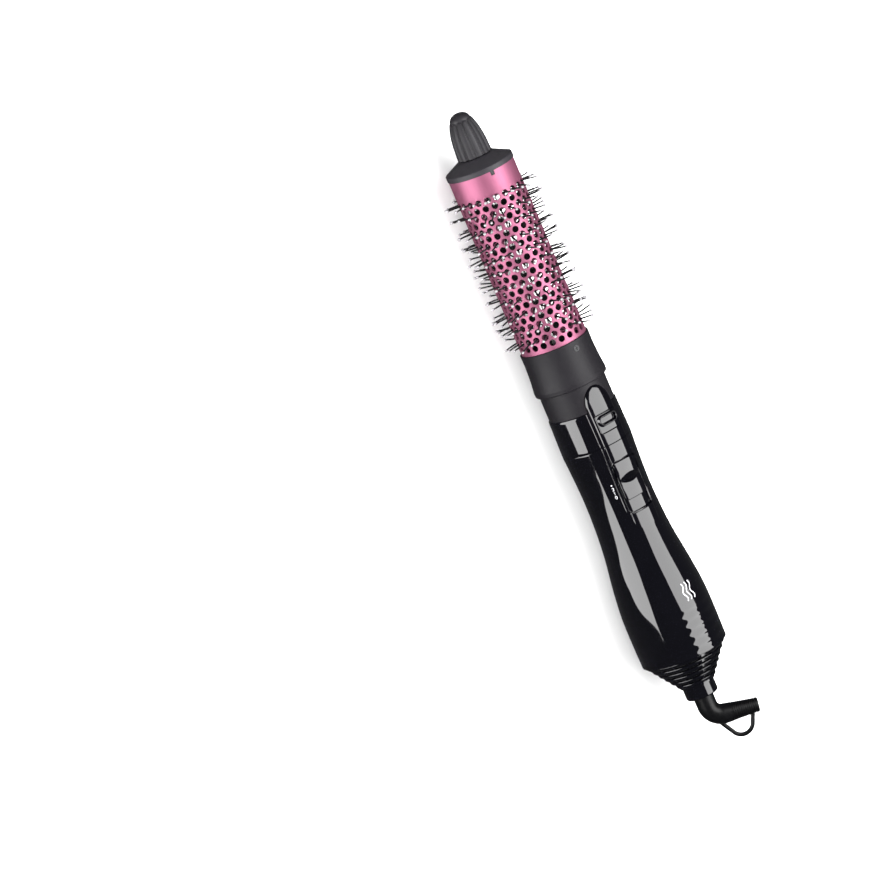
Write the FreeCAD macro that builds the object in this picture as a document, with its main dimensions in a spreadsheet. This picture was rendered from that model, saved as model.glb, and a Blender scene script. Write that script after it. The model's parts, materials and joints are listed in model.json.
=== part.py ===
import FreeCAD, Part
import math
import os

import Sketcher
from FreeCAD import Placement, Rotation, Vector

# Hot air brush: a round thermal brush head on a handle that holds a fan, a motor and a heater.
# Every piece is drawn with X along the brush, X = 0 at the nose of the cool tip and the long axis on
# Y = 0, Z = 0.  Its Placement then lays the brush on a table: tip towards -X, buttons towards +Z,
# with the lowest bristle tips on Z = 0.  Millimetres throughout.

doc = FreeCAD.newDocument("hot_air_brush")
sheet = doc.addObject("Spreadsheet::Sheet", "Sizes")
AXIS = Vector(1, 0, 0)


# ---------------------------------------------------------------- sizes that carry their own formula
class Size:
    """A number together with the formula of spreadsheet cells that it came from."""

    def __init__(self, value, text):
        self.value = value
        self.text = text

    def join(self, other, sign, result):
        return Size(result, "(" + self.text + " " + sign + " " + size(other).text + ")")

    def __add__(self, other):
        return self.join(other, "+", self.value + size(other).value)

    def __sub__(self, other):
        return self.join(other, "-", self.value - size(other).value)

    def __mul__(self, other):
        return self.join(other, "*", self.value * size(other).value)

    def __truediv__(self, other):
        return self.join(other, "/", self.value / size(other).value)

    def __radd__(self, other):
        return size(other) + self

    def __rsub__(self, other):
        return size(other) - self

    def __rmul__(self, other):
        return size(other) * self

    def __neg__(self):
        return size(0) - self


def size(number):
    return number if isinstance(number, Size) else Size(number, repr(number))


def value(number):
    return size(number).value


def cosine(degrees):
    return Size(math.cos(math.radians(degrees.value)), "cos(" + degrees.text + " * 1 deg)")


def sine(degrees):
    return Size(math.sin(math.radians(degrees.value)), "sin(" + degrees.text + " * 1 deg)")


def dimension(alias, number):
    """One driving dimension: a plain number in the sheet, under a name."""
    aliases.append(alias)
    cell = "A" + str(len(aliases))
    sheet.set(cell, repr(number))
    sheet.setAlias(cell, alias)
    return Size(float(number), "Sizes." + alias)


# ---------------------------------------------------------------- driving dimensions
aliases = []
overall = dimension("overall_length", 384.0)
play = dimension("moving_play", 0.35)

tip_end = dimension("tip_end", 25.4)
tip_radius = dimension("tip_radius", 9.45)
nose_end = dimension("nose_end", 4.2)
nose_radius = dimension("nose_radius", 6.1)
flutes = dimension("flute_count", 12)
flute_depth = dimension("flute_depth", 0.7)
flute_angle = dimension("flute_angle", 13.0)
axle_radius = dimension("axle_radius", 2.5)
running = dimension("running_clearance", 0.05)

barrel_radius = dimension("barrel_radius", 19.0)
barrel_wall = dimension("barrel_wall", 0.8)
barrel_start = dimension("barrel_start", 33.4)
barrel_end = dimension("barrel_end", 144.0)
hole_radius = dimension("hole_radius", 1.85)
hole_first = dimension("hole_first", 47.6)
hole_pitch = dimension("hole_pitch", 4.12)
hole_rows = dimension("hole_row_count", 22)
row_holes = dimension("holes_in_a_row", 22)

core_radius = dimension("core_radius", 1.8)
core_start = dimension("core_start", 41.0)
core_end = dimension("core_end", 151.0)
pin_radius = dimension("pin_radius", 0.4)
ball_radius = dimension("ball_radius", 0.6)
ball_reach = dimension("ball_reach", 25.4)
ball_flat = dimension("ball_flat", 0.25)

collar_start = dimension("collar_start", 138.0)
collar_end = dimension("collar_end", 163.0)
collar_radius = dimension("collar_radius", 20.0)
lip_radius = dimension("lip_radius", 21.0)
spigot_radius = dimension("spigot_radius", 17.25)
spigot_wall = dimension("spigot_wall", 1.55)
spigot_end = dimension("spigot_end", 176.0)
screw_place = dimension("collar_screw_place", 142.6)

neck_start = dimension("neck_start", 157.6)
neck_radius = dimension("neck_radius", 19.1)
lug_place = dimension("lug_place", 168.6)
lug_size = dimension("lug_size", 3.6)
twist = dimension("twist_degrees", 15.0)

housing_start = dimension("housing_start", 178.1)
housing_radius = dimension("housing_radius", 19.7)
housing_bore = dimension("housing_bore", 18.05)
grip_start = dimension("grip_start", 199.0)
grip_radius = dimension("grip_start_radius", 20.2)
waist_place = dimension("waist_place", 229.0)
waist_radius = dimension("waist_radius", 18.9)
bulb_radius = dimension("bulb_radius", 24.95)
grip_end = dimension("grip_end", 326.0)
shell_wall = dimension("shell_wall", 2.0)

console_half = dimension("console_half_width", 8.2)
console_start = dimension("console_start", 165.0)
console_end = dimension("console_end", 252.0)
console_rise = dimension("console_rise", 1.1)
button_start = dimension("button_start", 181.0)
button_length = dimension("button_length", 10.6)
button_half = dimension("button_half_width", 7.0)
window_start = dimension("window_start", 209.0)
window_end = dimension("window_end", 239.0)
window_half = dimension("window_half_width", 7.8)
window_floor = dimension("window_floor", 18.1)
switch_travel = dimension("switch_travel", 6.9)

heater_start = dimension("heater_start", 154.0)
heater_end = dimension("heater_end", 203.0)
heater_radius = dimension("heater_radius", 10.4)

shaft_radius = dimension("shaft_radius", 1.15)
motor_start = dimension("motor_start", 256.0)
motor_end = dimension("motor_end", 284.0)
motor_radius = dimension("motor_radius", 12.5)
fan_start = dimension("fan_start", 290.0)
fan_end = dimension("fan_end", 305.0)
fan_radius = dimension("fan_radius", 17.5)
fan_blades = dimension("fan_blade_count", 9)

grille_end = dimension("grille_end", 345.4)
grille_rings = dimension("grille_ring_count", 6)
grille_small = dimension("grille_small_radius", 10.2)
socket_end = dimension("socket_end", 353.0)
socket_radius = dimension("socket_radius", 9.2)
disc_end = dimension("swivel_disc_end", 350.3)

boot_radius = dimension("boot_radius", 5.7)
boot_bend = dimension("boot_bend_radius", 8.0)
boot_bend_start = dimension("boot_bend_start", 359.6)
boot_turn = dimension("boot_turn_degrees", 82.0)
arm_length = dimension("arm_length", 19.6)
arm_tip_radius = dimension("arm_tip_radius", 4.1)
cord_bore = dimension("cord_bore_radius", 3.0)
loop_radius = dimension("loop_wire_radius", 1.25)
loop_corner = dimension("loop_corner", 390.92)
loop_bend = dimension("loop_bend_radius", 6.4)
boot_roll = dimension("boot_roll_degrees", 30.0)

tab_angle = dimension("cap_tab_degrees", 15.0)
lug_half_angle = dimension("lug_half_degrees", 7.7)
parting = dimension("shell_parting_gap", 0.1)
ripple_pitch = dimension("ripple_pitch", 5.3)
spring_foot = dimension("spring_foot", 11.6)
switch_top = dimension("switch_body_top", 14.5)
coil_radius = dimension("coil_radius", 9.3)
wire_radius = dimension("coil_wire_radius", 0.35)
disc_radius = dimension("swivel_disc_radius", 7.35)

# The bristles stand in rows of equal angles, with a gap straight down, so two of them reach the table.
half_step = size(180) / row_holes
axis_height = (ball_reach + ball_radius) * cosine(half_step) + ball_flat * sine(half_step)
doc.recompute()


# ---------------------------------------------------------------- helpers
def bind(thing, name, number):
    """Give a property its number, and the formula that drives it."""
    setattr(thing, name, value(number))
    thing.setExpression(name, size(number).text)


def locate(thing, spot, rotation=Rotation()):
    """Put a piece at a spot whose coordinates are sizes."""
    thing.Placement = Placement(Vector(*[value(part) for part in spot]), rotation)
    for letter, number in zip("xyz", spot):
        if isinstance(number, Size):
            thing.setExpression("Placement.Base." + letter, number.text)
    return thing


def around(degrees):
    """Turn about the long axis: 0 is straight up, positive turns from +Z towards -Y."""
    return Rotation(AXIS, degrees)


def box(name, corner, sides):
    thing = doc.addObject("Part::Box", name)
    for side, number in zip(("Length", "Width", "Height"), sides):
        bind(thing, side, number)
    return locate(thing, corner)


def bar(name, start, length, width, inner, outer, degrees=0.0, pitch=0.0):
    """A box that stands out from the long axis at an angle about it, like a spoke or a rib."""
    thing = doc.addObject("Part::Box", name)
    bind(thing, "Length", length)
    bind(thing, "Width", width)
    bind(thing, "Height", size(outer) - inner)
    middle = Vector(value(start) + value(length) / 2, 0, 0)
    corner = Vector(-value(length) / 2, -value(width) / 2, value(inner))
    spun = Placement(Vector(), around(degrees)) * Placement(middle, Rotation(Vector(0, 0, 1), pitch))
    thing.Placement = spun * Placement(corner, Rotation())
    return thing


def rod(name, radius, length, spot, direction=AXIS):
    thing = doc.addObject("Part::Cylinder", name)
    bind(thing, "Radius", radius)
    bind(thing, "Height", length)
    return locate(thing, spot, Rotation(Vector(0, 0, 1), direction))


def cut(name, base, *tools):
    for number, tool in enumerate(tools):
        last = number == len(tools) - 1
        thing = doc.addObject("Part::Cut", name if last else name + "_step" + str(number))
        thing.Base = base
        thing.Tool = tool
        base = thing
    return base


def common(name, base, tool):
    thing = doc.addObject("Part::Common", name)
    thing.Base = base
    thing.Tool = tool
    return thing


def fuse(name, *shapes):
    thing = doc.addObject("Part::MultiFuse", name)
    thing.Shapes = list(shapes)
    return thing


def group(name, *shapes):
    """Several separate solids under one name."""
    thing = doc.addObject("Part::Compound", name)
    thing.Links = list(shapes)
    return thing


def own_shape(name, shape):
    """A piece whose curve no standard feature draws."""
    thing = doc.addObject("Part::Feature", name)
    thing.Shape = shape
    return thing


def pin_down(sketch, geometry, point, across, up):
    """Fix a sketch point by its two distances from the origin."""
    for kind, number in (("DistanceX", across), ("DistanceY", up)):
        index = sketch.addConstraint(Sketcher.Constraint(kind, geometry, point, value(number)))
        if isinstance(number, Size):
            sketch.setExpression("Constraints[" + str(index) + "]", number.text)


def draw(sketch, corners):
    """Draw a closed chain of corners. A corner of four numbers is reached by an arc, and its last
    two numbers are a point that the arc passes."""
    spots = [Vector(value(corner[0]), value(corner[1]), 0) for corner in corners]
    for number, corner in enumerate(corners):
        start, end = spots[number - 1], spots[number]
        if len(corner) == 4:
            through = Vector(value(corner[2]), value(corner[3]), 0)
            edge = sketch.addGeometry(Part.Arc(start, through, end), False)
            backward = sketch.getPoint(edge, 1).distanceToPoint(start) > 0.001
            first, second = (2, 1) if backward else (1, 2)
            mark = sketch.addGeometry(Part.Point(through), True)
            pin_down(sketch, mark, 1, corner[2], corner[3])
            sketch.addConstraint(Sketcher.Constraint("PointOnObject", mark, 1, edge))
        else:
            edge = sketch.addGeometry(Part.LineSegment(start, end), False)
            first, second = 1, 2
        if number == 0:
            opening = (edge, first)
        else:
            sketch.addConstraint(Sketcher.Constraint("Coincident", edge, first, *previous))
        pin_down(sketch, edge, second, corner[0], corner[1])
        previous = (edge, second)
    sketch.addConstraint(Sketcher.Constraint("Coincident", *opening, *previous))


def new_sketch(body, role, name, corners):
    sketch = body.newObject("Sketcher::SketchObject", name)
    plane = [feature for feature in body.Origin.OriginFeatures if feature.Role == role][0]
    sketch.AttachmentSupport = (plane, [""])
    sketch.MapMode = "FlatFace"
    draw(sketch, corners)
    return sketch


def lathe(name, corners):
    """A body turned about the long axis from its half outline of places along it and radii."""
    body = doc.addObject("PartDesign::Body", name)
    sketch = new_sketch(body, "XZ_Plane", name + "_outline", corners)
    turned = body.newObject("PartDesign::Revolution", name + "_turned")
    turned.Profile = sketch
    turned.ReferenceAxis = (sketch, ["H_Axis"])
    turned.Angle = 360
    body.Tip = turned
    return body


def tube(name, start, end, inner, outer):
    return lathe(name, [(start, inner), (start, outer), (end, outer), (end, inner)])


def plate(name, corners, low, high):
    """A body padded from an outline in the level plane, between two heights."""
    body = doc.addObject("PartDesign::Body", name)
    sketch = new_sketch(body, "XY_Plane", name + "_outline", corners)
    pad = body.newObject("PartDesign::Pad", name + "_pad")
    pad.Profile = sketch
    bind(pad, "Length", size(high) - low)
    body.Tip = pad
    return locate(body, (0, 0, low))


def rounded(start, end, half, corner):
    """Corners of a rectangle across the brush, with its four corners rounded."""
    bulge = corner * (1 - math.sqrt(0.5))
    low, high = -size(half), size(half)
    return [
        (end - corner, low), (end, low + corner, end - bulge, low + bulge),
        (end, high - corner), (end - corner, high, end - bulge, high - bulge),
        (start + corner, high), (start, high - corner, start + bulge, high - bulge),
        (start, low + corner), (start + corner, low, start + bulge, low + bulge),
    ]


def turned_curve(name, stations, wall):
    """A shell turned about the long axis from a smooth curve through stations of place and radius."""
    curves = []
    for depth in (0.0, value(wall)):
        curve = Part.BSplineCurve()
        curve.interpolate([Vector(value(place), 0, value(radius) - depth) for place, radius in stations])
        curves.append(curve.toShape())
    ends = [Part.makeLine(curves[0].Vertexes[side].Point, curves[1].Vertexes[side].Point) for side in (0, -1)]
    wire = Part.Wire([curves[0], ends[1], curves[1], ends[0]])
    return own_shape(name, Part.Face(wire).revolve(Vector(), AXIS, 360))


# ---------------------------------------------------------------- cool tip
def cool_tip():
    rib_place = tip_end * 0.5
    rib_radius = tip_radius * 0.905
    body = lathe("cool_tip", [
        (0, 0),
        (nose_end, nose_radius, nose_end * 0.3, nose_radius * 0.66),
        (tip_end, tip_radius, rib_place, rib_radius),
        (tip_end, axle_radius * 2),
        (tip_end * 0.35, axle_radius * 2),
        (tip_end * 0.35, 0),
    ])
    floor = new_sketch(body, "XZ_Plane", "flute_outline", [
        (nose_end - 1, nose_radius - flute_depth, rib_place, rib_radius - flute_depth),
        (nose_end - 1, nose_radius + 2),
        (tip_end + 1, tip_radius + 2),
        (tip_end + 1, tip_radius - flute_depth),
    ])
    flute = body.newObject("PartDesign::Groove", "flute")
    flute.Profile = floor
    flute.ReferenceAxis = (floor, ["H_Axis"])
    bind(flute, "Angle", flute_angle)
    pattern = body.newObject("PartDesign::PolarPattern", "flutes")
    pattern.Originals = [flute]
    pattern.Axis = (floor, ["H_Axis"])
    pattern.Angle = 360
    pattern.Occurrences = int(flutes.value)
    pattern.setExpression("Occurrences", flutes.text)
    body.Tip = pattern
    return body


def tip_bush():
    return tube("tip_bush", tip_end - 5.4, tip_end - 0.1, axle_radius + running, axle_radius * 2)


def tip_axle():
    neck = tip_end - 5.8
    return lathe("tip_axle", [
        (neck - 2, 0), (neck - 2, axle_radius + 0.5), (neck - 1.6, axle_radius + 0.9),
        (neck, axle_radius + 0.9), (neck, axle_radius), (core_start, axle_radius), (core_start, 0),
    ])


# ---------------------------------------------------------------- brush head
def end_cap():
    face = tip_end + 0.3
    rim = barrel_radius + 0.4
    inside = barrel_radius - barrel_wall
    cap = lathe("end_cap_turned", [
        (face, axle_radius), (face, tip_radius + 0.6), (barrel_start - 3.0, rim - 0.4),
        (barrel_start - 2.4, rim, barrel_start - 2.85, rim - 0.1), (barrel_start, rim),
        (barrel_start, inside), (barrel_start + 6.6, inside), (barrel_start + 6.6, inside - 1.5),
        (barrel_start + 2, inside - 1.5), (barrel_start + 2, axle_radius * 2), (core_start, axle_radius * 2),
        (core_start, axle_radius),
    ])
    tab = bar("end_cap_tab", barrel_start - 1, 3.2, 2.0, barrel_radius - 1.4, barrel_radius + 0.1, tab_angle.value)
    return fuse("end_cap", cap, tab)


def barrel():
    length = barrel_end - barrel_start
    sleeve = rod("barrel_outside", barrel_radius, length, (barrel_start, 0, 0))
    inside = rod("barrel_inside", barrel_radius - barrel_wall, length, (barrel_start, 0, 0))
    drills = []
    for row in range(int(hole_rows.value)):
        place = Vector(hole_first.value + row * hole_pitch.value, 0, 0)
        for hole in range(int(row_holes.value)):
            step = hole + 0.5 + 0.5 * (row % 2)
            direction = around(360 * step / row_holes.value).multVec(Vector(0, 0, 1))
            start = place + direction * (barrel_radius.value - 3)
            drills.append(Part.makeCylinder(hole_radius.value, 5, start, direction))
    holes = own_shape("barrel_holes", Part.Compound(drills))
    notch = bar("barrel_notch", barrel_start - 1, 3.5, 2.3, barrel_radius - 2, barrel_radius + 1, tab_angle.value)
    screw_hole = rod("barrel_screw_hole", 1.1, 6, (screw_place, 0, barrel_radius - 3), Vector(0, 0, 1))
    return cut("barrel", sleeve, inside, holes, notch, screw_hole)


def bristle_rows():
    """Eleven rings on the core, each with a row of pins that pass through every other row of holes."""
    rings = []
    hub_half = 1.2
    hub = Part.makeCylinder(core_radius.value + 1.7, 2 * hub_half, Vector(-hub_half, 0, 0), AXIS)
    pins = []
    for number in range(int(row_holes.value)):
        direction = around(360 * (number + 0.5) / row_holes.value).multVec(Vector(0, 0, 1))
        pins.append(Part.makeCylinder(pin_radius.value, ball_reach.value - ball_radius.value * 0.8 - 2.5,
                                      direction * 2.5, direction))
    ring = hub.multiFuse(pins)
    ring = ring.cut(Part.makeCylinder(core_radius.value, 6, Vector(-3, 0, 0), AXIS))
    for row in range(0, int(hole_rows.value), 2):
        rings.append(ring.translated(Vector(hole_first.value + row * hole_pitch.value, 0, 0)))
    return own_shape("bristle_rows", Part.Compound(rings))


def bristle_tips():
    """A small faceted ball on the end of each pin, flat where it sits on the pin."""
    foot = ball_reach.value - ball_radius.value * 0.8
    waist = foot + 0.45
    top = ball_reach.value + ball_radius.value
    ball = Part.makeCone(pin_radius.value, ball_radius.value, waist - foot, Vector(0, 0, foot))
    ball = ball.fuse(Part.makeCone(ball_radius.value, ball_flat.value, top - waist, Vector(0, 0, waist)))
    balls = []
    for row in range(0, int(hole_rows.value), 2):
        for number in range(int(row_holes.value)):
            spun = ball.copy()
            spun.rotate(Vector(), AXIS, 360 * (number + 0.5) / row_holes.value)
            balls.append(spun.translated(Vector(hole_first.value + row * hole_pitch.value, 0, 0)))
    return own_shape("bristle_tips", Part.Compound(balls))


def sector(name, start, length, radius, first, sweep):
    """A slice of a cylinder about the long axis, from an angle and over a sweep."""
    thing = doc.addObject("Part::Cylinder", name)
    bind(thing, "Radius", radius)
    bind(thing, "Height", length)
    bind(thing, "Angle", sweep)
    return locate(thing, (start, 0, 0), around(value(first) - 180) * Rotation(Vector(0, 1, 0), 90))


def collar():
    pocket = barrel_radius
    tenon = barrel_radius - barrel_wall
    bore = spigot_radius - spigot_wall
    web = neck_start - 1.1
    shell = lathe("collar_turned", [
        (collar_start, pocket), (collar_start, collar_radius - 0.4),
        (collar_start + 0.5, collar_radius, collar_start + 0.12, collar_radius - 0.1),
        (collar_end - 2.6, lip_radius, collar_start + 15.5, collar_radius + 0.25),
        (collar_end - 0.9, lip_radius - 0.1), (collar_end, lip_radius - 0.9, collar_end - 0.2, lip_radius - 0.35),
        (collar_end, neck_radius + play), (web, neck_radius + play), (web, spigot_radius),
        (spigot_end, spigot_radius), (spigot_end, bore), (barrel_end + 9, bore), (barrel_end + 7, tenon - 1),
        (collar_start + 1, tenon - 1), (collar_start + 1, tenon), (barrel_end, tenon), (barrel_end, pocket),
    ])
    hub = tube("collar_hub", barrel_end + 2, core_end, core_radius, core_radius + 2.4)
    spokes = [bar("collar_spoke" + str(n), barrel_end + 2.5, 3, 1.8, core_radius + 2, tenon - 0.6, 60 + 120 * n)
              for n in range(3)]
    leg_sweep = twist + 2 * lug_half_angle.value
    leg_start = lug_place - lug_size * 0.5 - 0.5
    legs = []
    for side in (90, 270):
        legs.append(sector("bayonet_leg" + str(side), leg_start, lug_size + 1, spigot_radius + 0.5,
                           size(side) - twist - lug_half_angle, leg_sweep))
        legs.append(bar("bayonet_entry" + str(side), leg_start, spigot_end - leg_start + 1, lug_size + 1.4,
                        bore - 2, spigot_radius + 1, side - twist.value))
    seat = rod("collar_screw_seat", 1.9, 4, (screw_place, 0, barrel_radius - 0.4), Vector(0, 0, 1))
    hole = rod("collar_screw_hole", 1.0, 6, (screw_place, 0, barrel_radius - 4), Vector(0, 0, 1))
    return cut("collar", fuse("collar_blank", shell, hub, *spokes), *legs, seat, hole)


def collar_screw():
    head = rod("collar_screw_head", 1.75, 0.9, (screw_place, 0, barrel_radius), Vector(0, 0, 1))
    shank = rod("collar_screw_shank", 1.0, 2.6, (screw_place, 0, barrel_radius - 2.5), Vector(0, 0, 1))
    first = box("collar_screw_slot", (screw_place - 1.1, -0.2, barrel_radius + 0.45), (2.2, 0.4, 1))
    second = box("collar_screw_cross", (screw_place - 0.2, -1.1, barrel_radius + 0.45), (0.4, 2.2, 1))
    return cut("collar_screw", fuse("collar_screw_blank", head, shank), first, second)


# ---------------------------------------------------------------- front of the handle
def neck_ring():
    bore = spigot_radius + 0.2
    joint = housing_start - 0.2
    turned = lathe("neck_ring_turned", [
        (neck_start, bore), (neck_start, neck_radius - 0.4), (neck_start + 0.4, neck_radius),
        (joint, neck_radius), (joint, housing_bore - 0.1), (joint + 2.3, housing_bore - 0.1),
        (joint + 2.3, bore - 1.2), (joint - 0.6, bore - 1.2), (joint - 1.2, bore),
    ])
    lugs = [bar("neck_lug" + str(side), lug_place - lug_size * 0.5, lug_size, lug_size,
                spigot_radius - spigot_wall + 0.2, neck_radius - 0.6, side) for side in (90, 270)]
    return fuse("neck_ring", turned, *lugs)


def upper_housing():
    ring = lathe("housing_ring", [
        (housing_start, housing_bore), (housing_start, housing_radius), (grip_start - 0.1, grip_radius),
        (grip_start - 0.1, housing_bore),
    ])
    crest = grip_radius + console_rise
    under = neck_radius + 0.25
    shell = lathe("housing_console_turned", [
        (console_start, under), (console_start, under + 0.9), (console_start + 2, crest - 0.75),
        (grip_start - 0.1, crest, housing_start, crest - 0.25), (grip_start - 0.1, housing_bore + 1),
        (housing_start, housing_bore + 1), (housing_start, under),
    ])
    shoulder = console_start + 11
    strip = plate("housing_console_plan", [
        (grip_start + 1, -console_half), (grip_start + 1, console_half), (shoulder, console_half),
        (console_start, 0, console_start + 3.2, console_half * 0.62),
        (shoulder, -console_half, console_start + 3.2, -console_half * 0.62),
    ], 5, 40)
    body = fuse("housing_blank", ring, common("housing_console", shell, strip))
    opening = plate("button_window", rounded(button_start - 0.3, button_start + button_length + 0.3,
                                             button_half + 0.3, 1.5), 10, 40)
    return cut("upper_housing", body, opening)


def release_button():
    crest = grip_radius + console_rise
    end = button_start + button_length
    cap = plate("button_cap", rounded(button_start, end, button_half, 1.3), housing_bore - 3, 30)
    skin = lathe("button_skin", [(button_start - 1, 0), (button_start - 1, crest - 0.1), (end + 1, crest),
                                 (end + 1, 0)])
    ring_middle = button_start + 3.2
    ring = plate("button_ring", rounded(ring_middle - 2.1, ring_middle + 2.1, 5.2, 2.0), housing_bore, crest + 0.75)
    dish = plate("button_dish", rounded(ring_middle - 1.1, ring_middle + 1.1, 4.0, 1.0), crest - 0.4, crest + 2)
    flange = box("button_flange", (button_start - 0.5, -button_half - 0.9, housing_bore - 3),
                 (button_length + 1, button_half * 2 + 1.8, 1.0))
    return cut("release_button", fuse("button_blank", common("button_face", cap, skin), ring, flange), dish)


def release_latch():
    arm = box("latch_arm", (spigot_end + 0.6, -2.5, housing_bore - 3.9), (12.4, 5, 0.9))
    nose = box("latch_nose", (spigot_end + 0.6, -2.5, housing_bore - 3.0), (1.3, 5, 0.8))
    return fuse("release_latch", arm, nose)


def release_spring():
    """A short coil spring that stands between the bridge and the latch."""
    wire, pitch, turns = 0.25, 0.82, 2.5
    coil = Part.makeHelix(pitch, pitch * turns, 1.9)
    coil.translate(Vector(button_start.value + 8.2, 0, spring_foot.value + wire))
    spine = coil.Edges[0]
    section = Part.makeCircle(wire, spine.valueAt(spine.FirstParameter), spine.tangentAt(spine.FirstParameter))
    return own_shape("release_spring", Part.Wire([spine]).makePipeShell([Part.Wire(section)], True, True))


def spring_bridge():
    """A strut across the housing that the spring stands on."""
    span = math.sqrt(housing_bore.value ** 2 - spring_foot.value ** 2) - 0.3
    return box("spring_bridge", (button_start + 5, -span, spring_foot - 0.6), (6.4, 2 * span, 0.6))


# ---------------------------------------------------------------- grip
def grip_tube():
    stations = [
        (grip_start, grip_radius), (grip_start + 14, waist_radius + 0.5), (waist_place, waist_radius),
        (waist_place + 16, waist_radius + 0.45), (waist_place + 31, waist_radius + 1.6),
        (waist_place + 50, bulb_radius - 1.85), (waist_place + 66, bulb_radius - 0.25),
        (grip_end - 16, bulb_radius), (grip_end, bulb_radius - 0.2),
    ]
    tube_wall = turned_curve("grip_tube", stations, shell_wall)
    sag = 0.22
    width = ripple_pitch.value
    scoop = width ** 2 / (8 * sag)
    rings = [Part.makeTorus(bulb_radius.value - sag + scoop, scoop,
                            Vector(grip_end.value - 24 + width * number, 0, 0), AXIS) for number in range(5)]
    return cut("rippled_grip", tube_wall, own_shape("grip_ripples", Part.Compound(rings)))


def grip_shells():
    wall = grip_tube()
    length = grip_end - grip_start + 10
    front_half = box("front_half", (grip_start - 5, -40, parting * 0.5), (length, 80, 40))
    back_half = box("back_half", (grip_start - 5, -40, -40 - parting * 0.5), (length, 80, 40))
    crest = grip_radius + console_rise
    shell = lathe("grip_console_turned", [
        (grip_start, waist_radius - 0.6),
        (grip_start, crest),
        (console_end, waist_radius + 0.7, waist_place, waist_radius + 1.1),
        (console_end, waist_radius - 0.6),
    ])
    strip = plate("grip_console_plan", [
        (grip_start - 1, -console_half), (console_end + 1, -console_half), (console_end + 1, console_half),
        (grip_start - 1, console_half)], 5, 40)
    body = fuse("front_blank", common("front_wall", wall, front_half), common("grip_console", shell, strip))
    recess = plate("switch_recess", rounded(window_start, window_end, window_half, 2.2), window_floor, 40)
    slot = box("switch_slot", (window_start + 7.2, -2.3, 5), (12.2, 4.6, 30))
    front = cut("grip_front_shell", body, recess, slot)
    back = common("back_wall", wall, back_half)
    wells = []
    for place, depth in shell_screw_places():
        wells.append(rod("screw_well", 2.6, 6, (place, 0, -depth), Vector(0, 0, -1)))
        wells.append(rod("screw_hole", 1.3, 12, (place, 0, -depth + 5), Vector(0, 0, -1)))
    return front, cut("grip_back_shell", back, *wells)


def shell_screw_places():
    """Where the two shell screws stand along the back, and how far their heads are from the axis."""
    return ((grip_start + 4.5, size(18.9)), (grip_end - 6.5, size(24.0)))


def shell_screws():
    screws = []
    for place, depth in shell_screw_places():
        head = rod("screw_head", 2.4, 0.8, (place, 0, -depth), Vector(0, 0, -1))
        shank = rod("screw_shank", 1.2, 6, (place, 0, -depth + 6), Vector(0, 0, -1))
        driver = box("screw_slot", (place - 1.6, -0.3, -depth - 1.2), (3.2, 0.6, 0.8))
        screws.append(cut("screw", fuse("screw_blank", head, shank), driver))
    return group("shell_screws", *screws)


# ---------------------------------------------------------------- slide switch
def switch_knob():
    start, end = window_start + 0.4, window_end - switch_travel - 0.4
    middle = start + 10.6
    half = window_half - 0.4
    crest = grip_radius + console_rise
    block = plate("knob_block", rounded(start, end, half, 1.9), window_floor + 0.15, 30)
    skin = lathe("knob_skin", [
        (start - 2, 0), (start - 2, crest - 0.7),
        (end + 4, waist_radius + 0.75, middle, waist_radius + 0.95), (end + 4, 0),
    ])
    thumb = lathe("knob_thumb", [
        (middle - 2.0, 0), (middle - 2.0, waist_radius + 0.7),
        (middle + 2.0, waist_radius + 0.7, middle, waist_radius + 2.4), (middle + 2.0, 0),
    ])
    lens = plate("knob_lens", [
        (middle, half - 0.2),
        (middle, -half + 0.2, middle - 2.6, 0),
        (middle, half - 0.2, middle + 2.6, 0),
    ][1:], window_floor + 0.3, 30)
    stem = box("knob_stem", (window_start + 7.7, -1.9, switch_top + 0.2),
               (3.8, 3.8, window_floor - switch_top + 0.5))
    face = common("knob_face", block, skin)
    return fuse("switch_knob", face, common("knob_ridge", thumb, lens), stem)


def switch_body():
    return box("switch_body", (window_start + 3, -5.5, switch_top - 4.5), (22, 11, 4.5))


def circuit_board():
    board = box("board_blank", (window_start - 3, -8, switch_top - 6.1), (34, 16, 1.6))
    holes = [rod("board_hole" + str(n), 1.2, 6, (window_start - 0.5 + 29 * n, 5.5, switch_top - 8), Vector(0, 0, 1))
             for n in range(2)]
    return cut("circuit_board", board, *holes)


def rectifier_diodes():
    low = switch_top - 7.5
    return group("rectifier_diodes", *[rod("diode" + str(n), 1.35, 5.2, (window_start + 8 + 3.4 * n, -2.6, low),
                                           Vector(0, 1, 0)) for n in range(4)])


# ---------------------------------------------------------------- heater
def heater_frame():
    length = heater_end - heater_start + 1
    level = box("mica_level", (heater_start, -coil_radius + wire_radius, -0.4),
                (length, (coil_radius - wire_radius) * 2, 0.8))
    upright = box("mica_upright", (heater_start, -0.4, -coil_radius + wire_radius),
                  (length, 0.8, (coil_radius - wire_radius) * 2))
    return fuse("heater_frame", level, upright)


def heating_coils():
    turns = []
    for number in range(15):
        turn = doc.addObject("Part::Torus", "coil_turn" + str(number))
        bind(turn, "Radius1", coil_radius + 0.02)
        bind(turn, "Radius2", wire_radius)
        turns.append(locate(turn, (heater_start + 3 + 2.6 * number, 0, 0), Rotation(Vector(0, 1, 0), 90)))
    return group("heating_coils", *turns)


def heater_shroud():
    return tube("heater_shroud", heater_start - 1, heater_end, heater_radius, heater_radius + 0.5)


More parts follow.
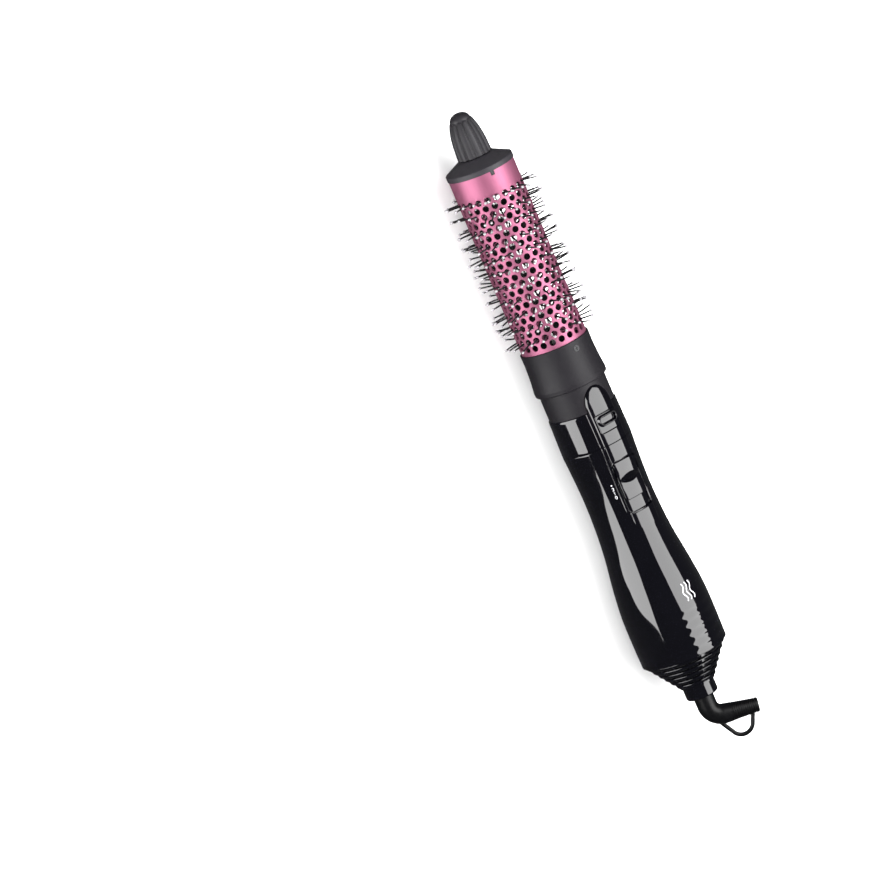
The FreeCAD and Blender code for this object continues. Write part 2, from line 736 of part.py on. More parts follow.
def heater_holder():
    """The ring that centres the heater and makes all of the air pass through it."""
    ring = lathe("holder_ring", [
        (grip_start - 5, heater_radius + 0.5), (grip_start - 5, housing_bore - 0.1),
        (grip_start - 2.8, housing_bore - 0.1), (grip_start - 2.8, heater_radius + 2.5),
        (grip_start + 2, heater_radius + 2), (grip_start + 2, heater_radius + 0.5),
    ])
    boss = box("holder_boss", (grip_start - 4, -3.2, -17.2), (11.6, 6.4, 5.6))
    hole = rod("holder_hole", 1.2, 12, (grip_start + 4.5, 0, -10), Vector(0, 0, -1))
    return cut("heater_holder", fuse("holder_blank", ring, boss), hole)


def thermostat():
    return rod("thermostat", 3.2, 2.2, (heater_end - 5, 0.4, 4.6), Vector(0, 1, 0))


def thermal_fuse():
    return rod("thermal_fuse", 1.2, 9, (heater_end - 11, -3.4, 2.6))


# ---------------------------------------------------------------- motor and fan
def motor_can():
    wall = 0.8
    return lathe("motor_can", [
        (motor_start, 3.0), (motor_start, motor_radius), (motor_end - 1, motor_radius),
        (motor_end - 1, motor_radius - wall), (motor_start + wall, motor_radius - wall), (motor_start + wall, 3.0),
    ])


def motor_end_plate():
    return tube("motor_end_plate", motor_end - 1, motor_end, 3.0, motor_radius)


def motor_bushes():
    front = tube("front_bush", motor_start, motor_start + 2.4, shaft_radius + running, 3.0)
    rear = tube("rear_bush", motor_end - 2.4, motor_end, shaft_radius + running, 3.0)
    return group("motor_bushes", front, rear)


def magnets():
    wall = tube("magnet_ring", motor_start + 5, motor_end - 4, motor_radius - 2.7, motor_radius - 0.85)
    gaps = box("magnet_gap", (motor_start, -20, -2.2), (motor_end - motor_start, 40, 4.4))
    return cut("magnets", wall, gaps)


def motor_shaft():
    return rod("motor_shaft", shaft_radius, fan_end - motor_start + 4.5, (motor_start - 3, 0, 0))


def armature():
    stack = tube("armature_stack", motor_start + 7, motor_end - 6, shaft_radius, motor_radius - 3.3)
    slots = [bar("armature_slot" + str(n), motor_start + 6, motor_end - motor_start - 10, 1.6,
                 motor_radius - 7.5, motor_radius, 72 * n) for n in range(5)]
    commutator = tube("commutator", motor_start + 3, motor_start + 7.2, shaft_radius, 2.8)
    return fuse("armature", cut("armature_slotted", stack, *slots), commutator)


def motor_mount():
    """A sleeve about the motor, held to the shells by straight vanes that steady the air."""
    sleeve = tube("mount_sleeve", motor_start + 1, motor_end - 3, motor_radius, motor_radius + 1.4)
    vanes = [bar("mount_vane" + str(n), motor_start + 5, 12, 1.3, motor_radius + 1, 18.6, 60 * n)
             for n in range(6)]
    return fuse("motor_mount", sleeve, *vanes)


def fan_impeller():
    hub = lathe("fan_hub", [
        (fan_start, shaft_radius), (fan_start, fan_radius - 1), (fan_start + 1.2, fan_radius - 1),
        (fan_start + 4, 6.5), (fan_end, 4.0), (fan_end, shaft_radius),
    ])
    blades = [bar("fan_blade" + str(n), fan_start + 0.4, 12.5, 1.1, 4.2, fan_radius, 360.0 / fan_blades.value * n, 28)
              for n in range(int(fan_blades.value))]
    return fuse("fan_impeller", hub, *blades)


# ---------------------------------------------------------------- tail: inlet and cord swivel
def grille_line(place):
    """Outer radius of the inlet cone at a place along it."""
    share = (size(place) - grip_end) / (grille_end - grip_end)
    return (bulb_radius - 0.9) - (bulb_radius - 0.9 - grille_small) * share


def inlet_grille():
    pitch = (grille_end - grip_end - 0.3) / grille_rings
    parts = []
    for number in range(int(grille_rings.value)):
        start = grip_end + 0.2 + pitch * number
        end = start + pitch * 0.62
        outer = grille_line(start + pitch * 0.31)
        parts.append(lathe("grille_ring" + str(number), [
            (start, outer - 2.4), (start, outer - 0.5),
            (start + 0.5, outer, start + 0.15, outer - 0.15), (end - 0.3, outer - 0.3),
            (end, outer - 0.7), (end, outer - 2.4),
        ]))
    flange = lathe("grille_flange", [
        (grip_end - 10, 20.6), (grip_end - 10, 22.4), (grip_end + 1, 22.4), (grip_end + 1, 20.6)])
    boss = box("grille_boss", (grip_end - 9.6, -3.2, -21.4), (6.2, 6.4, 3.4))
    parts += [flange, boss, tube("grille_end_ring", grille_end - 1.2, grille_end, grille_small - 2.2, grille_small)]
    for number in range(16):
        rib = doc.addObject("PartDesign::Body", "grille_rib" + str(number))
        sketch = new_sketch(rib, "XZ_Plane", "rib_outline" + str(number), [
            (grip_end - 1, 20.7), (grip_end - 1, 22.3),
            (grip_end + 0.6, grille_line(grip_end) - 1.2), (grille_end - 0.5, grille_small - 0.7),
            (grille_end - 0.5, grille_small - 2.0), (grip_end + 0.6, 20.7)])
        pad = rib.newObject("PartDesign::Pad", "rib_pad" + str(number))
        pad.Profile = sketch
        pad.Length = 1.2
        pad.Midplane = True
        rib.Tip = pad
        parts.append(locate(rib, (0, 0, 0), around(22.5 * number + 11.25)))
    hole = rod("grille_hole", 1.2, 14, (grip_end - 6.5, 0, -12), Vector(0, 0, -1))
    return cut("inlet_grille", fuse("grille_blank", *parts), hole)


def inlet_filter():
    """A cone of fine mesh inside the grille, as one thin wall."""
    start, end = grip_end + 0.6, grille_end - 3
    return lathe("inlet_filter", [
        (start, 19.8), (start, 20.3), (end, grille_small - 1.25), (end, grille_small - 1.75),
    ])


def swivel_socket():
    cavity, mouth = disc_radius + play * 0.6, boot_radius + play
    return lathe("swivel_socket", [
        (grille_end, cavity), (grille_end, socket_radius), (socket_end - 1, socket_radius),
        (socket_end, socket_radius - 1, socket_end - 0.3, socket_radius - 0.3),
        (socket_end, mouth), (disc_end + play, mouth), (disc_end + play, cavity),
    ])


def swivel_disc():
    start = grille_end + 1.9
    return lathe("swivel_disc", [
        (start - 2.6, 2.2), (start - 2.6, 3.8), (start, 3.8), (start, disc_radius), (disc_end, disc_radius),
        (disc_end, 2.2),
    ])


def swivel_contacts():
    start = grille_end + 0.1
    return group("swivel_contacts", *[tube("contact" + str(n), start + 1.0 * n, start + 1.0 * n + 0.6,
                                           4.1, disc_radius + play * 0.6) for n in range(2)])


def lead_wires():
    """Two wires along the sides, from the swivel contacts' end of the fan to the board."""
    wires = []
    start = Vector(252, 0, 16.2)
    run = Vector(62, 0, 4.0)
    for number, side in enumerate((90, 270)):
        turn = around(side)
        wires.append(rod("lead" + str(number), 0.8, run.Length, tuple(turn.multVec(start)), turn.multVec(run)))
    return group("lead_wires", *wires)


# ---------------------------------------------------------------- elbow boot and loop
def boot_path():
    """Corner of the elbow's end and the arm's direction, in the plane of X and Y."""
    turn = math.radians(boot_turn.value)
    end = Vector(boot_bend_start.value + boot_bend.value * math.sin(turn),
                 boot_bend.value * (1 - math.cos(turn)), 0)
    return end, Vector(math.cos(turn), math.sin(turn), 0)


def arm_shape():
    """The arm turned about its own line, with fine rings that make it flexible."""
    rib_start, rib_pitch, rib_depth = 4.6, 1.15, 0.32
    length = arm_length.value
    slope = (boot_radius.value - arm_tip_radius.value) / length
    corners = [Vector(0, 0, 0), Vector(0, 0, boot_radius.value)]
    place = rib_start
    while place + rib_pitch < length - 1.2:
        radius = boot_radius.value - slope * place
        corners.append(Vector(place, 0, radius))
        corners.append(Vector(place + 0.12, 0, radius - rib_depth))
        corners.append(Vector(place + 0.5, 0, radius - rib_depth))
        corners.append(Vector(place + 0.62, 0, radius))
        place += rib_pitch
    corners += [Vector(length - 0.5, 0, arm_tip_radius.value), Vector(length, 0, arm_tip_radius.value - 0.4)]
    corners += [Vector(length, 0, 0), Vector(0, 0, 0)]
    return Part.Face(Part.makePolygon(corners)).revolve(Vector(), AXIS, 360)


def cord_boot():
    end, direction = boot_path()
    straight = Part.makeCylinder(boot_radius.value, boot_bend_start.value - disc_end.value,
                                 Vector(disc_end.value, 0, 0), AXIS)
    section = Part.Face(Part.Wire(Part.makeCircle(boot_radius.value, Vector(boot_bend_start.value, 0, 0), AXIS)))
    elbow = section.revolve(Vector(boot_bend_start.value, boot_bend.value, 0), Vector(0, 0, 1), boot_turn.value)
    arm = arm_shape()
    arm.Placement = Placement(end, Rotation(AXIS, direction))
    outlet = end + direction * arm_length.value
    bore = Part.makeCylinder(cord_bore.value, 18.5, outlet - direction * 18, direction)
    return own_shape("cord_boot", straight.multiFuse([elbow, arm]).cut(bore).removeSplitter())


def hang_loop(boot):
    """A loop of round wire moulded into the elbow and the arm, in their plane."""
    root, corner, head = Vector(369.2, 2.0, 0), Vector(loop_corner.value, 14.4, 0), Vector(372.6, 21.9, 0)
    first, second = (root - corner).normalize(), (head - corner).normalize()
    half = first.getAngle(second) / 2
    reach = loop_bend.value / math.tan(half)
    middle = corner + (first + second).normalize() * (loop_bend.value / math.sin(half))
    start, end = corner + first * reach, corner + second * reach
    crown = middle + (corner - middle).normalize() * loop_bend.value
    path = Part.Wire([Part.LineSegment(root, start).toShape(), Part.Arc(start, crown, end).toShape(),
                      Part.LineSegment(end, head).toShape()])
    section = Part.Wire(Part.makeCircle(loop_radius.value, root, first))
    wire = path.makePipeShell([section], True, False)
    solid_boot = boot.Shape.multiFuse([Part.makeCylinder(cord_bore.value + 0.01, 18.6, outlet_start(), boot_path()[1])])
    return own_shape("hang_loop", wire.cut(solid_boot))


def outlet_start():
    end, direction = boot_path()
    return end + direction * (arm_length.value - 18.05)


# ---------------------------------------------------------------- the whole brush
def build_pieces():
    front, back = grip_shells()
    boot = cord_boot()
    pieces = [
        cool_tip(), tip_bush(), tip_axle(),
        end_cap(), barrel(), collar(), collar_screw(), bristle_rows(), bristle_tips(),
        rod("bristle_core", core_radius, core_end - core_start, (core_start, 0, 0)),
        neck_ring(), upper_housing(), front, back, shell_screws(),
        release_button(), release_latch(), release_spring(), spring_bridge(),
        switch_knob(), switch_body(), circuit_board(), rectifier_diodes(),
        heater_frame(), heating_coils(), heater_shroud(), heater_holder(), thermostat(), thermal_fuse(),
        motor_can(), motor_end_plate(), motor_bushes(), magnets(), motor_shaft(), armature(), motor_mount(),
        fan_impeller(), inlet_grille(), inlet_filter(), swivel_socket(), swivel_contacts(), lead_wires(),
    ]
    return pieces, [swivel_disc(), boot, hang_loop(boot)]


def lay_down(piece, roll):
    """Turn a piece about the long axis, then lay it on the table, over the middle of the brush."""
    formulas = {where.lstrip("."): text for where, text in piece.ExpressionEngine}
    shifts = {"x": overall * -0.5, "y": size(0.0), "z": axis_height}
    base = piece.Placement.Base
    piece.Placement = Placement(base, around(roll) * piece.Placement.Rotation)
    for letter, number in zip("xyz", base):
        where = "Placement.Base." + letter
        own = Size(number, formulas.get(where, repr(number)))
        piece.setExpression(where, (own + shifts[letter]).text)


def check(thing):
    faults = [word for word in thing.State if word in ("Invalid", "Error")]
    if faults:
        raise RuntimeError(thing.Label + " failed: " + ", ".join(faults))


def main():
    pieces, boot_pieces = build_pieces()
    for piece in pieces:
        lay_down(piece, 0)
    for piece in boot_pieces:
        lay_down(piece, boot_roll.value)
    doc.recompute()
    for thing in doc.Objects:
        check(thing)
    os.makedirs("parts", exist_ok=True)
    for piece in pieces + boot_pieces:
        shape = piece.Shape
        if shape.isNull() or not shape.isValid() or not shape.Solids:
            raise RuntimeError(piece.Label + " has no valid solid")
        shape.exportStep(os.path.join("parts", piece.Label + ".step"))
        box_of = shape.BoundBox
        print(piece.Label, len(shape.Solids), "solids", round(shape.Volume, 1), "mm3",
              [round(number, 2) for number in (box_of.XMin, box_of.XMax, box_of.YMin, box_of.YMax,
                                               box_of.ZMin, box_of.ZMax)])


main()
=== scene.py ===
"""Looks of the hot air brush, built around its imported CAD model. Metres, tip towards -X, buttons up."""
import json
import math
import random

import bmesh
import bpy
from mathutils import Matrix, Vector


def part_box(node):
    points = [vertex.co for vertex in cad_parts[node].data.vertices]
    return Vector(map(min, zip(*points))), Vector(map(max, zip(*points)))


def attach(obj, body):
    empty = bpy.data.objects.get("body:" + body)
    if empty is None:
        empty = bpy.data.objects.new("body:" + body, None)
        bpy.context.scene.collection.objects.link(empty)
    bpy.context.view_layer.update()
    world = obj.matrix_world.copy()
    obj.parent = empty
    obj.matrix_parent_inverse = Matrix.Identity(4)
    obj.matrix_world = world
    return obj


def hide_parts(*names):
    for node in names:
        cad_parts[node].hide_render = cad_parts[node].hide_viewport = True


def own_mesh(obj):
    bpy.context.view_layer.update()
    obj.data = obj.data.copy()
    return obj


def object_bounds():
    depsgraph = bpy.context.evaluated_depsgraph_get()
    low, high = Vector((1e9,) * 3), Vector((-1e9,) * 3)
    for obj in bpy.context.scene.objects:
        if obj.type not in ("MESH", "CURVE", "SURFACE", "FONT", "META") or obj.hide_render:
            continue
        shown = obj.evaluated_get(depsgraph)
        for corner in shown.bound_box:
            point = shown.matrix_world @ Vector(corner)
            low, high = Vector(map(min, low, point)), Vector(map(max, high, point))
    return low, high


MM = 0.001
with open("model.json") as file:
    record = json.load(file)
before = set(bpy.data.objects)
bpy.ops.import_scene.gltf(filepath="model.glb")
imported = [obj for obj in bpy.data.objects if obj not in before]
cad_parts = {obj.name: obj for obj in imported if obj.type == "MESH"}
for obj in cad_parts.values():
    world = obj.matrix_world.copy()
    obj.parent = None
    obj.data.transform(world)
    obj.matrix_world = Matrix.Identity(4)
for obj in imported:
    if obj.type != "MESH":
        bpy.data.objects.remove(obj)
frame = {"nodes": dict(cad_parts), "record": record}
cad_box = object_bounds()
X = Vector((1, 0, 0))


# ---------------------------------------------------------------- places, taken from the CAD model
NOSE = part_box("cool_tip")[0].x
AXIS_HEIGHT = sum(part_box("barrel"), Vector()).z / 2


def polar(x, degrees, reach):
    """A point about the long axis: 0 is straight up, positive turns towards -Y."""
    turn = math.radians(degrees)
    return Vector((x, -math.sin(turn) * reach, AXIS_HEIGHT + math.cos(turn) * reach))


# ---------------------------------------------------------------- materials
def node(tree, kind, values=None, **settings):
    """A new shader node with its properties and the default values of its inputs."""
    made = tree.nodes.new(kind)
    for key, setting in settings.items():
        setattr(made, key, setting)
    for key, number in (values or {}).items():
        made.inputs[key].default_value = number
    return made


def shade(name, dark, light, rough, grain=900.0, bump=0.02, bump_scale=2500.0, metallic=0.0,
          stretch=(1, 1, 1), **shader):
    """Colour that drifts between two shades, roughness that drifts with it, and a fine surface grain.

    Grain and bump_scale are noise scales per metre, bump is the height of the grain in millimetres.
    """
    material = bpy.data.materials.new(name)
    material.use_nodes = True
    tree = material.node_tree
    tree.nodes.clear()
    out = node(tree, "ShaderNodeOutputMaterial")
    skin = node(tree, "ShaderNodeBsdfPrincipled", {"Metallic": metallic})
    for key, number in shader.items():
        skin.inputs[key.replace("_", " ")].default_value = number
    place = node(tree, "ShaderNodeTexCoord")
    mapping = node(tree, "ShaderNodeMapping", {"Scale": stretch})
    drift = node(tree, "ShaderNodeTexNoise", {"Scale": grain, "Detail": 4.0, "Roughness": 0.6})
    colour = node(tree, "ShaderNodeMix", data_type="RGBA")
    colour.inputs["A"].default_value = (*dark, 1)
    colour.inputs["B"].default_value = (*light, 1)
    wear = node(tree, "ShaderNodeMapRange",
                {"From Min": 0.3, "From Max": 0.7, "To Min": rough[0], "To Max": rough[1]})
    fine = node(tree, "ShaderNodeTexNoise", {"Scale": bump_scale, "Detail": 3.0})
    relief = node(tree, "ShaderNodeBump", {"Strength": 0.6, "Distance": bump * MM})
    link = tree.links.new
    link(place.outputs["Object"], mapping.inputs["Vector"])
    link(mapping.outputs["Vector"], drift.inputs["Vector"])
    link(mapping.outputs["Vector"], fine.inputs["Vector"])
    link(drift.outputs["Fac"], colour.inputs["Factor"])
    link(colour.outputs["Result"], skin.inputs["Base Color"])
    link(drift.outputs["Fac"], wear.inputs["Value"])
    link(wear.outputs["Result"], skin.inputs["Roughness"])
    link(fine.outputs["Fac"], relief.inputs["Height"])
    link(relief.outputs["Normal"], skin.inputs["Normal"])
    link(skin.outputs["BSDF"], out.inputs["Surface"])
    return material


CHARCOAL_GRAIN = {"grain": 420, "bump": 0.02, "bump_scale": 4200}
METAL = {"metallic": 1.0}
PALETTE = {  # dark shade, light shade, range of roughness, settings
    "matte_charcoal": ((0.0060, 0.0053, 0.0068), (0.0090, 0.0082, 0.0100), (0.44, 0.54),
                       {**CHARCOAL_GRAIN, "Specular_IOR_Level": 0.16}),
    "tip_charcoal": ((0.0092, 0.0084, 0.0103), (0.0142, 0.0132, 0.0157), (0.44, 0.54),
                     {**CHARCOAL_GRAIN, "Specular_IOR_Level": 0.25}),
    # a lighter copy of the charcoal for the end cap: painted light that brightens its cone, which the lamps
    # light less
    "cap_charcoal_painted_light": ((0.0150, 0.0138, 0.0167), (0.0228, 0.0212, 0.0250), (0.44, 0.54),
                     {**CHARCOAL_GRAIN, "Specular_IOR_Level": 0.25}),
    "gloss_black": ((0.0007, 0.0007, 0.0014), (0.0014, 0.0014, 0.0024), (0.035, 0.06),
                    {"grain": 60, "bump": 0.0008, "bump_scale": 70}),
    "pink_anodised": ((0.232, 0.071, 0.124), (0.285, 0.092, 0.155), (0.46, 0.53),
                      {"grain": 700, "bump": 0.002, "bump_scale": 2600, "metallic": 0.72,
                       "stretch": (0.12, 1, 1)}),
    "black_nylon": ((0.006, 0.006, 0.007), (0.012, 0.012, 0.013), (0.45, 0.55),
                    {"grain": 800, "bump": 0.008, "Specular_IOR_Level": 0.2}),
    "clear_ball": ((0.42, 0.41, 0.43), (0.56, 0.55, 0.57), (0.06, 0.14),
                   {"grain": 1200, "bump": 0.004, "Transmission_Weight": 0.45, "IOR": 1.49}),
    "steel": ((0.50, 0.50, 0.50), (0.62, 0.62, 0.61), (0.22, 0.34), {**METAL, "bump": 0.01}),
    "zinc_steel": ((0.022, 0.022, 0.023), (0.040, 0.040, 0.041), (0.34, 0.46), METAL),
    "black_rubber": ((0.0010, 0.0010, 0.0012), (0.0020, 0.0020, 0.0024), (0.30, 0.40),
                     {"grain": 500, "bump": 0.012, "bump_scale": 3600, "Specular_IOR_Level": 0.16}),
    "inner_plastic": ((0.030, 0.030, 0.031), (0.046, 0.046, 0.047), (0.5, 0.6), {"bump": 0.03}),
    "mica": ((0.36, 0.28, 0.18), (0.52, 0.43, 0.30), (0.35, 0.5), {"grain": 300, "bump": 0.05}),
    "resistance_wire": ((0.28, 0.25, 0.23), (0.40, 0.36, 0.33), (0.4, 0.5), METAL),
    "bronze": ((0.42, 0.25, 0.12), (0.55, 0.34, 0.17), (0.3, 0.4), METAL),
    "magnet": ((0.05, 0.05, 0.055), (0.09, 0.09, 0.095), (0.5, 0.6), {"bump": 0.04}),
    "copper": ((0.55, 0.26, 0.14), (0.70, 0.36, 0.20), (0.25, 0.35), METAL),
    "board": ((0.03, 0.13, 0.06), (0.05, 0.20, 0.09), (0.35, 0.45), {}),
    "wire_red": ((0.42, 0.02, 0.02), (0.58, 0.04, 0.03), (0.35, 0.45), {}),
    "filter_mesh": ((0.010, 0.010, 0.010), (0.030, 0.030, 0.030), (0.6, 0.7),
                    {"grain": 2500, "bump": 0.2, "bump_scale": 1500}),
    "brass": ((0.62, 0.44, 0.17), (0.74, 0.55, 0.25), (0.25, 0.35), METAL),
    "white_print": ((0.42, 0.42, 0.44), (0.52, 0.52, 0.54), (0.35, 0.45), {"grain": 1500, "bump": 0.006}),
}
MATERIALS = {name: shade(name, dark, light, rough, **settings)
             for name, (dark, light, rough, settings) in PALETTE.items()}
SHADE_OF = {"end_cap": "cap_charcoal_painted_light"}  # nodes whose shade differs from that of their slot; the end cap gets a lighter copy of the charcoal, painted light for a cone the lamps light too little

SLOT_OF = {part["node"]: part["material_slot"] for part in frame["record"]["subparts"]}
for name, thing in frame["nodes"].items():
    thing.data.materials.clear()
    thing.data.materials.append(MATERIALS[SHADE_OF.get(name, SLOT_OF[name])])


# ---------------------------------------------------------------- mesh helpers
def spot(u, degrees, reach):
    """A point in metres from millimetres along the brush, degrees about it and millimetres from its axis."""
    return polar(NOSE + u * MM, degrees, reach * MM)


def span(name):
    """Where a CAD node starts and ends along the brush, in millimetres from the nose."""
    low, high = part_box(name)
    return (low.x - NOSE) / MM, (high.x - NOSE) / MM


def finish_piece(mesh, look, body, replaced=()):
    """Puts a mesh into the scene with its material, body and slot, in place of the CAD nodes it replaces."""
    thing = bpy.data.objects.new(mesh.name, mesh)
    bpy.context.scene.collection.objects.link(thing)
    mesh.materials.append(MATERIALS[look])
    mesh.shade_smooth()
    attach(thing, body)
    if replaced:
        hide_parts(*replaced)
    return thing


def mesh_from(name, points, faces, sharp=None):
    """A mesh whose faces look outwards, with edges sharper than an angle kept crisp."""
    mesh = bpy.data.meshes.new(name)
    mesh.from_pydata(points, [], faces)
    shape = bmesh.new()
    shape.from_mesh(mesh)
    bmesh.ops.recalc_face_normals(shape, faces=shape.faces)
    if sharp is not None:
        limit = math.radians(sharp)
        for edge in shape.edges:
            if len(edge.link_faces) == 2 and edge.calc_face_angle() > limit:
                edge.smooth = False
    shape.to_mesh(mesh)
    shape.free()
    return mesh


def rings(name, rows, joined=False, sharp=None):
    """A skin through rings of points. The ends are closed flat, or joined to each other."""
    count = len(rows[0])
    points = [point for row in rows for point in row]
    faces = []
    last = len(rows) if joined else len(rows) - 1
    for row in range(last):
        first, second = row * count, (row + 1) % len(rows) * count
        for number in range(count):
            following = (number + 1) % count
            faces.append((first + number, first + following, second + following, second + number))
    if not joined:
        faces.append(tuple(range(count)))
        faces.append(tuple(range((len(rows) - 1) * count, len(rows) * count)))
    return mesh_from(name, points, faces, sharp)


def steps(start, end, step):
    """Even places from start to end, about a step apart."""
    count = max(1, round((end - start) / step))
    return [start + (end - start) * number / count for number in range(count + 1)]


def smooth_line(stations):
    """A smooth curve through stations of place and size, as a function of the place."""
    def size_at(place):
        place = min(max(place, stations[0][0]), stations[-1][0])
        number = max(n for n in range(len(stations) - 1) if stations[n][0] <= place)
        (p1, v1), (p2, v2) = stations[number], stations[number + 1]
        p0, v0 = stations[max(number - 1, 0)]
        p3, v3 = stations[min(number + 2, len(stations) - 1)]
        lean1 = (v2 - v0) / (p2 - p0)
        lean2 = (v3 - v1) / (p3 - p1)
        wide = p2 - p1
        t = (place - p1) / wide
        return ((2 * t**3 - 3 * t**2 + 1) * v1 + (t**3 - 2 * t**2 + t) * wide * lean1
                + (3 * t**2 - 2 * t**3) * v2 + (t**3 - t**2) * wide * lean2)
    return size_at


def ease(value):
    """A smooth step from 0 to 1."""
    value = min(max(value, 0.0), 1.0)
    return value * value * (3 - 2 * value)


def outside_rounded(across, along, half_across, half_along, corner):
    """Distance outside a rounded rectangle; negative inside it."""
    dx = abs(along) - half_along + corner
    dy = abs(across) - half_across + corner
    return math.hypot(max(dx, 0), max(dy, 0)) + min(max(dx, dy), 0) - corner


# ---------------------------------------------------------------- sizes of the handle, in millimetres
CONSOLE_START = span("upper_housing")[0]
HOUSING_START = span("neck_ring")[1] - 2.1
GRIP_START, GRIP_END = span("grip_back_shell")
HOUSING_END = GRIP_START - 0.12
BUTTON_START, BUTTON_END = span("release_button")[0] + 0.5, span("release_button")[1] - 0.5
KNOB_START, KNOB_END = span("switch_knob")
BUTTON_HALF, KNOB_HALF = 7.0, 7.4
WINDOW_START, WINDOW_END = KNOB_START - 0.4, KNOB_END + 7.3
WINDOW_HALF, WINDOW_CORNER, WINDOW_FLOOR = 7.8, 2.2, 18.1
CONSOLE_HALF, CONSOLE_CROWN, CONSOLE_FILLET = 8.2, 22.0, 1.5
ARCH = 11.0  # length of the console's rounded front end
CONSOLE_SPREAD = 34  # degrees each side of straight up that hold the console and its ledge
LEDGE_HEIGHT, LEDGE_RAMP = 0.28, 0.35
PARTING_DEPTH, PARTING_HALF = 0.22, 0.28
RIPPLE_START, RIPPLE_PITCH, RIPPLE_DEPTH = GRIP_END - 26.6, 5.3, 0.36
RIPPLE_SPREAD, RIPPLE_FADE = 48, 20  # degrees each side of straight up, and over how many they fade out

grip_line = smooth_line([
    (GRIP_START, 20.2), (GRIP_START + 14, 19.4), (GRIP_START + 30, 18.9), (GRIP_START + 46, 19.35),
    (GRIP_START + 61, 20.5), (GRIP_START + 80, 23.1), (GRIP_START + 96, 24.7), (GRIP_END - 16, 24.95),
    (GRIP_END, 24.75)])
crest_line = smooth_line([
    (CONSOLE_START, 20.2), (CONSOLE_START + 6, 20.85), (HOUSING_START, 21.05), (GRIP_START, 21.3),
    (GRIP_START + 30, 20.0), (GRIP_START + 50, 19.55), (GRIP_START + 70, 18.6)])
# angles about the axis for the rings of the handle's skins: fine over the console, coarse elsewhere
HANDLE_ANGLES = (steps(-CONSOLE_SPREAD, CONSOLE_SPREAD, 0.5)[:-1]
                 + steps(CONSOLE_SPREAD, 360 - CONSOLE_SPREAD, 2)[:-1])


def from_top(degrees):
    """The same direction about the axis, between -180 and 180 degrees from straight up."""
    return (degrees + 180) % 360 - 180


def console_half(u):
    """Half width of the console: an arch at its front end."""
    back = (CONSOLE_START + ARCH - u) / ARCH
    return CONSOLE_HALF * math.sqrt(max(0.0, 1 - back * back)) if back > 0 else CONSOLE_HALF


def console_top(u, y):
    """Height of the console above the axis, with rounded edges."""
    back = max(0.0, (CONSOLE_START + ARCH - u) / ARCH)
    edge = (1 - math.hypot(back, y / CONSOLE_HALF)) * CONSOLE_HALF
    edge = min(max(edge, 0.0), CONSOLE_FILLET)
    drop = CONSOLE_FILLET - math.sqrt(CONSOLE_FILLET**2 - (CONSOLE_FILLET - edge)**2)
    return crest_line(u) - y * y / (2 * CONSOLE_CROWN) - drop


def window_edge(u, y):
    """Distance outside the switch window."""
    middle = (WINDOW_START + WINDOW_END) / 2
    return outside_rounded(y, u - middle, WINDOW_HALF, (WINDOW_END - WINDOW_START) / 2, WINDOW_CORNER)


def grip_reach(u, degrees):
    """Distance of the grip's skin from the axis, with its console, window, ripples and parting line."""
    turned = from_top(degrees)
    reach = grip_line(u)
    if u > RIPPLE_START:
        swing = (u - RIPPLE_START) / RIPPLE_PITCH
        fade = ease((RIPPLE_SPREAD - abs(turned)) / RIPPLE_FADE) * ease((GRIP_END - u) / 0.6)
        reach -= RIPPLE_DEPTH * (0.5 - 0.5 * math.cos(2 * math.pi * swing)) * fade
    seam = abs(abs(turned) - 90) * math.pi / 180 * reach
    reach -= PARTING_DEPTH * max(0.0, 1 - seam / PARTING_HALF)
    if u < GRIP_START + 0.5:
        reach -= 0.3 * (1 - (u - GRIP_START) / 0.5)
    if abs(turned) >= CONSOLE_SPREAD:
        return reach
    sine, cosine = math.sin(math.radians(turned)), math.cos(math.radians(turned))
    base = reach
    for _ in range(4):  # the height depends on the distance from the middle, and that on the height
        y = reach * sine
        ledge = base + (LEDGE_HEIGHT * ease((9.5 - abs(y)) / LEDGE_RAMP)
                        * ease((GRIP_START + 44 - u) / 10))
        reach = ledge
        if abs(y) < CONSOLE_HALF:
            outside = window_edge(u, y)
            height = console_top(u, y)
            height += 0.22 * ease(1 - abs(outside - 0.45) / 0.4)
            floor = WINDOW_FLOOR - y * y / (2 * CONSOLE_CROWN)
            height += (floor - height) * ease(-outside / 0.3)
            raised = height / cosine
            reach = raised if outside < 0 else max(ledge, raised)
    return reach


# ---------------------------------------------------------------- handle skins


def grip():
    """Both grip shells as one hollow skin, its rings close together at the window's edges."""
    places = steps(GRIP_START, GRIP_START + 0.6, 0.15) + steps(GRIP_START + 1.2, WINDOW_START - 1.5, 1.1)
    places += steps(WINDOW_START - 1.2, WINDOW_START + 3, 0.15)
    places += steps(WINDOW_START + 3.4, WINDOW_END - 3, 0.6)
    places += steps(WINDOW_END - 2.8, WINDOW_END + 1.2, 0.15)
    places += steps(WINDOW_END + 1.8, GRIP_END - 28, 0.9) + steps(GRIP_END - 27.5, GRIP_END, 0.35)
    rows = [[spot(u, a, grip_reach(u, a)) for a in HANDLE_ANGLES] for u in places]
    for u in steps(GRIP_START, GRIP_END, 4)[::-1]:
        rows.append([spot(u, a, grip_line(u) - 2.1) for a in HANDLE_ANGLES])
    finish_piece(rings("grip_skin", rows, joined=True, sharp=38), "gloss_black", "handle",
                 ("grip_front_shell", "grip_back_shell"))


